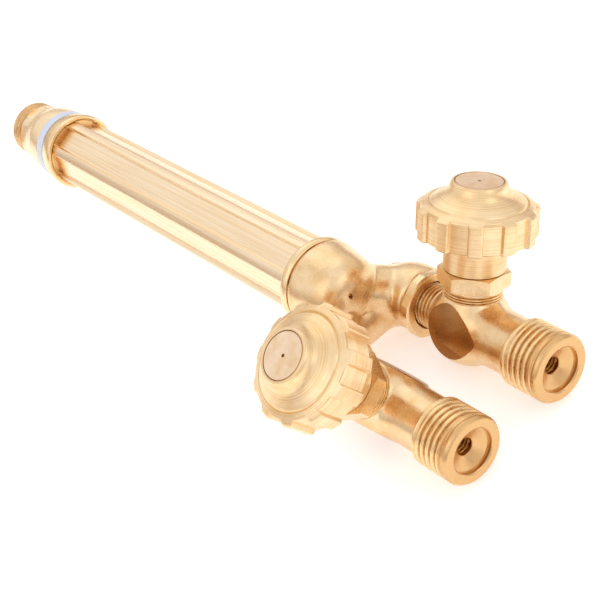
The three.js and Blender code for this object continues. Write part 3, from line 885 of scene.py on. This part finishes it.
class TORCH_OT_nuts(bpy.types.Operator):
    """Lock nuts, bonnets and bonnet washers"""

    bl_idname = "torch.nuts"
    bl_label = "Nuts and washers"

    def execute(self, context):
        sizes = context.scene.torch_valve
        for gas in GASES:
            matrix = valve_frame(gas)
            along = matrix @ TURN_TO_HOSE
            nut = hex_solid(sizes.nut_flats, *LOCK_NUT, 0.25, sizes.nut_radius)
            combine(nut, to_object(lathe([
                (0, -15), (5.5, -15), (5.5, -13.6), (5.2, -13.3), (5.2, -11.4),
                (5.4, -11.2), (5.4, -9), (0, -9)], 96), "bore"))
            nut.name = f"{gas}_hex_lock_nut"
            place(nut, along, ROOT, turned_brass(f"Turned {gas} lock nut brass", along,
                                                 shine=0.24), "polished_brass",
                  f"{gas}_lock_nut")
            hexagon = hex_solid(sizes.bonnet_flats, *BONNET_HEX, 0.4)
            hexagon.data.transform(Matrix.Rotation(math.radians(HEX_TURN[gas]), 4, "Z"))
            stalk = to_object(lathe([
                (0, 7.3), (4.3, 7.3, 0.1), (4.5, 7.5), (4.5, 9.6), (4.2, 9.6), (4.2, 14.9, 0.1),
                (3.9, 15.2), (0, 15.2)], 96), "stalk")
            combine(hexagon, stalk, "UNION")
            combine(hexagon, to_object(lathe(
                [(0, 6), (2.3, 6), (2.3, 16), (0, 16)], 48), "bore"))
            hexagon.name = f"{gas}_hex_bonnet"
            place(hexagon, matrix, ROOT, turned_brass(
                f"Turned {gas} bonnet brass", matrix, shine=0.26, mark=0.01), "polished_brass",
                f"{gas}_bonnet")
            washer = lathe([
                (4.9, 8.2), (5.85, 8.2, 0.1), (6.1, 8.5, 0.15), (6.1, 8.85, 0.15),
                (5.9, 9.15, 0.1), (4.9, 9.15)],
                96, closed=True)
            place(to_object(washer, f"{gas}_seal_washer"), matrix, ROOT, turned_brass(
                f"Turned {gas} washer brass", matrix, shine=0.3), "polished_brass",
                f"{gas}_bonnet_washer")
        return {"FINISHED"}


class TORCH_OT_knobs(bpy.types.Operator):
    """Ridged knobs and their inset plugs"""

    bl_idname = "torch.knobs"
    bl_label = "Knobs"

    def execute(self, context):
        sizes = context.scene.torch_knob
        for gas in GASES:
            matrix = valve_frame(gas)
            body = body_of_node(f"{gas}_knob")
            knob = self.ridged_knob(sizes, math.radians(RIDGE_PHASE[gas]))
            place(to_object(knob, f"{gas}_ridged_knob"), matrix, body, turned_brass(
                f"Turned {gas} knob brass", matrix, spacing=0.26, shine=0.3, mark=0.08,
                lines=0.35),
                "polished_brass", f"{gas}_knob", sharp=32)
            plug = lathe([
                (0, 27.2), (sizes.plug_radius, 27.2), (sizes.plug_radius, 30.85, 0.05),
                (sizes.plug_radius - 0.1, 30.95, 0.05), (0.42, 30.93, 0.1), (0, 30.5)], 96)
            place(to_object(plug, f"{gas}_inset_plug"), matrix, body, faced_brass(
                f"Faced {gas} plug brass", matrix, sizes.plug_radius),
                "polished_brass", f"{gas}_knob_plug")
        return {"FINISHED"}

    @staticmethod
    def ridged_knob(sizes, phase):
        """Turned knob whose rim vertices are then raised into ridges."""
        rim, low, high = sizes.rim_radius, sizes.rim_low, sizes.rim_high
        skirt, pocket = sizes.skirt_radius, sizes.plug_radius + 0.08
        sides = [(rim, low + 0.25 + (high - low - 0.5) * k / 12) for k in range(13)]
        bm = lathe(
            [(4.6, 12.68), (skirt - 0.13, 12.68, 0.05), (skirt, 12.8, 0.08),
             (skirt, low - 0.1, 0.15), (skirt + 0.3, low, 0.2), (rim - 0.25, low, 0.1)]
            + sides
            + [(rim - 0.2, high + 0.1, 0.1), (10.0, 26.8, 0.1), (9.75, 26.5, 0.12),
               (9.5, 26.95, 0.15), (8.1, 27.7, 0.8), (6.7, 28.55, 1.1), (6.05, 29.4, 0.8),
               (5.75, 30.4, 0.4), (5.38, 30.95, 0.12), (pocket, 30.95, 0.03), (pocket, 26.9),
               (3.6, 26.9), (3.6, 24.3), (2.8, 24.3), (2.8, 18.4), (4.6, 18.4)],
            sizes.ridges * 28, closed=True)
        flank = 0.055                        # share of the pitch that a ridge's side takes
        for vert in bm.verts:
            x, y, z = vert.co
            r = math.hypot(x, y)
            if r < rim - 0.4 or z < low - 0.01:
                continue
            turn = ((math.atan2(y, x) - phase) / (2 * math.pi) * sizes.ridges) % 1
            near = min(turn, 1 - turn)
            reach = (sizes.ridge_share / 2 - near) / flank + 0.5
            lift = min(1, max(0, reach))
            lift = lift * lift * (3 - 2 * lift)
            top = min(1, max(0, (high + 0.15 - z) / 0.3))
            scale = (r + sizes.ridge_height * lift * (0.6 + 0.4 * top)) / r
            vert.co.x *= scale
            vert.co.y *= scale
            if z > high - 0.6:
                vert.co.z -= 0.3 * lift
        bmesh.ops.recalc_face_normals(bm, faces=bm.faces)
        return bm


class TORCH_OT_inner(bpy.types.Operator):
    """Finishes for the inner pieces, whose CAD shapes stay"""

    bl_idname = "torch.inner"
    bl_label = "Inner pieces"

    def execute(self, context):
        handle = handle_frame()
        tubes = turned_brass("Drawn tube brass", handle, spacing=0.5, shine=0.35,
                             pale="tube_pale", deep="tube_deep")
        finishes = {"oxygen_tube": tubes, "fuel_tube": tubes}
        for gas in GASES:
            matrix = valve_frame(gas)
            stem = turned_brass(f"Turned {gas} stem brass", matrix, shine=0.25)
            finishes[f"{gas}_stem"] = stem
            finishes[f"{gas}_packing_washer"] = turned_brass(
                f"Stamped {gas} washer brass", matrix, shine=0.35)
            finishes[f"{gas}_packing_ring"] = packing_plastic(f"{gas} PTFE packing", matrix)
            steel = ground_steel(f"Ground {gas} steel", matrix)
            finishes[f"{gas}_seat_ball"] = steel
            finishes[f"{gas}_knob_screw"] = steel
        for node, material in finishes.items():
            mesh = frame["nodes"][node].data
            mesh.materials.clear()
            mesh.materials.append(material)
        return {"FINISHED"}


# ---- stage ---------------------------------------------------------------------------
class TORCH_OT_stage(bpy.types.Operator):
    """Pale floor, soft studio light and the camera"""

    bl_idname = "torch.stage"
    bl_label = "Stage"

    def execute(self, context):
        stage = context.scene.torch_stage
        azimuth, elevation = math.radians(stage.azimuth), math.radians(stage.elevation)
        back = Vector((math.sin(azimuth) * math.cos(elevation),
                       -math.cos(azimuth) * math.cos(elevation), math.sin(elevation)))
        right = Vector((math.cos(azimuth), math.sin(azimuth), 0))
        upward = back.cross(right)
        roll = math.radians(stage.roll)
        across = right * math.cos(roll) + upward * math.sin(roll)
        upright = upward * math.cos(roll) - right * math.sin(roll)
        data = bpy.data.cameras.new("studio_camera")
        data.lens = stage.lens
        data.sensor_width = 36
        data.clip_start = 0.01
        camera = bpy.data.objects.new("studio_camera", data)
        context.scene.collection.objects.link(camera)
        aim = ORIGIN + Vector(stage.aim)
        turn = Matrix((across, upright, back)).transposed().to_4x4()
        camera.matrix_world = Matrix.Translation(aim + back * stage.distance) @ turn
        context.scene.camera = camera
        self.floor(stage)
        self.lights(context, stage)
        return {"FINISHED"}

    @staticmethod
    def floor(stage):
        """Matt board just under the torch, bright enough to stay white."""
        bm = bmesh.new()
        bmesh.ops.create_grid(bm, x_segments=2, y_segments=2, size=4.0)
        floor = to_object(bm, "pale_floor")
        material, tree, shader = new_material("Matt white board", Roughness=0.9)
        shader.inputs["Base Color"].default_value = colour("board")
        shader.inputs["Emission Color"].default_value = (1, 1, 1, 1)
        shader.inputs["Emission Strength"].default_value = stage.floor_glow
        floor.data.materials.append(material)
        floor.location.z = -0.0004

    @staticmethod
    def lights(context, stage):
        """Soft sky over warm dark screens, and three area lights."""
        world = bpy.data.worlds.new("studio")
        world.use_nodes = True
        tree = world.node_tree
        background = tree.nodes["Background"]
        direction = add(tree, "ShaderNodeTexCoord").outputs["Generated"]
        height = add(tree, "ShaderNodeSeparateXYZ", {"Vector": direction}).outputs["Z"]
        glow = add(tree, "ShaderNodeMapRange", {
            "Value": height, "From Min": -0.02, "From Max": 0.32})
        seen = add(tree, "ShaderNodeLightPath").outputs["Is Camera Ray"]
        shown = add(tree, "ShaderNodeMath", {0: glow.outputs["Result"], 1: seen},
                    operation="MAXIMUM")
        sky = add(tree, "ShaderNodeMix", data_type="RGBA")
        tree.links.new(shown.outputs["Value"], sky.inputs["Factor"])
        sky.inputs["A"].default_value = colour("flags")
        sky.inputs["B"].default_value = (1, 1, 1, 1)
        tree.links.new(sky.outputs["Result"], background.inputs["Color"])
        background.inputs["Strength"].default_value = 1.0
        context.scene.world = world
        for name, place_at, size, power in (
                ("key", (0.15, -0.75, 0.8), 0.7, stage.key_power),
                ("fill", (-0.6, 0.5, 0.9), 0.9, stage.fill_power),
                ("rear", (0.9, 0.4, 0.6), 0.6, stage.rear_power)):
            data = bpy.data.lights.new(name, "AREA")
            data.size = size
            data.energy = power
            light = bpy.data.objects.new(name, data)
            context.scene.collection.objects.link(light)
            light.location = place_at
            light.rotation_euler = (-Vector(place_at)).to_track_quat("-Z", "Y").to_euler()
        context.scene.view_settings.view_transform = "Standard"


class TORCH_PT_panel(bpy.types.Panel):
    """Lists the torch's pieces in the sidebar"""

    bl_idname = "TORCH_PT_panel"
    bl_label = "Lampwork Torch"
    bl_space_type = "VIEW_3D"
    bl_region_type = "UI"
    bl_category = "Torch"

    def draw(self, context):
        for operator in OPERATORS:
            self.layout.operator(operator.bl_idname)
        for group, cls in GROUPS.items():
            box = self.layout.box()
            for name in cls.__annotations__:
                box.prop(getattr(context.scene, group), name)


OPERATORS = (TORCH_OT_stage, TORCH_OT_barrel, TORCH_OT_front, TORCH_OT_rear, TORCH_OT_y_body,
             TORCH_OT_valve_bodies, TORCH_OT_nuts, TORCH_OT_knobs, TORCH_OT_inner)
GROUPS = {"torch_handle": TorchHandleSizes, "torch_valve": TorchValveSizes,
          "torch_knob": TorchKnobSizes, "torch_finish": TorchFinishes,
          "torch_stage": TorchStage}


def register():
    """Adds the classes and puts the groups of settings on the scene."""
    for cls in (*GROUPS.values(), *OPERATORS, TORCH_PT_panel):
        bpy.utils.register_class(cls)
    for name, group in GROUPS.items():
        setattr(bpy.types.Scene, name, PointerProperty(type=group))


def unregister():
    """Takes away what register added."""
    for name in GROUPS:
        delattr(bpy.types.Scene, name)
    for cls in (TORCH_PT_panel, *reversed(OPERATORS), *reversed(GROUPS.values())):
        bpy.utils.unregister_class(cls)


def main():
    """Builds everything."""
    register()
    for operator in OPERATORS:
        getattr(bpy.ops.torch, operator.bl_idname.split(".")[1])()


if __name__ == "__main__":
    main()
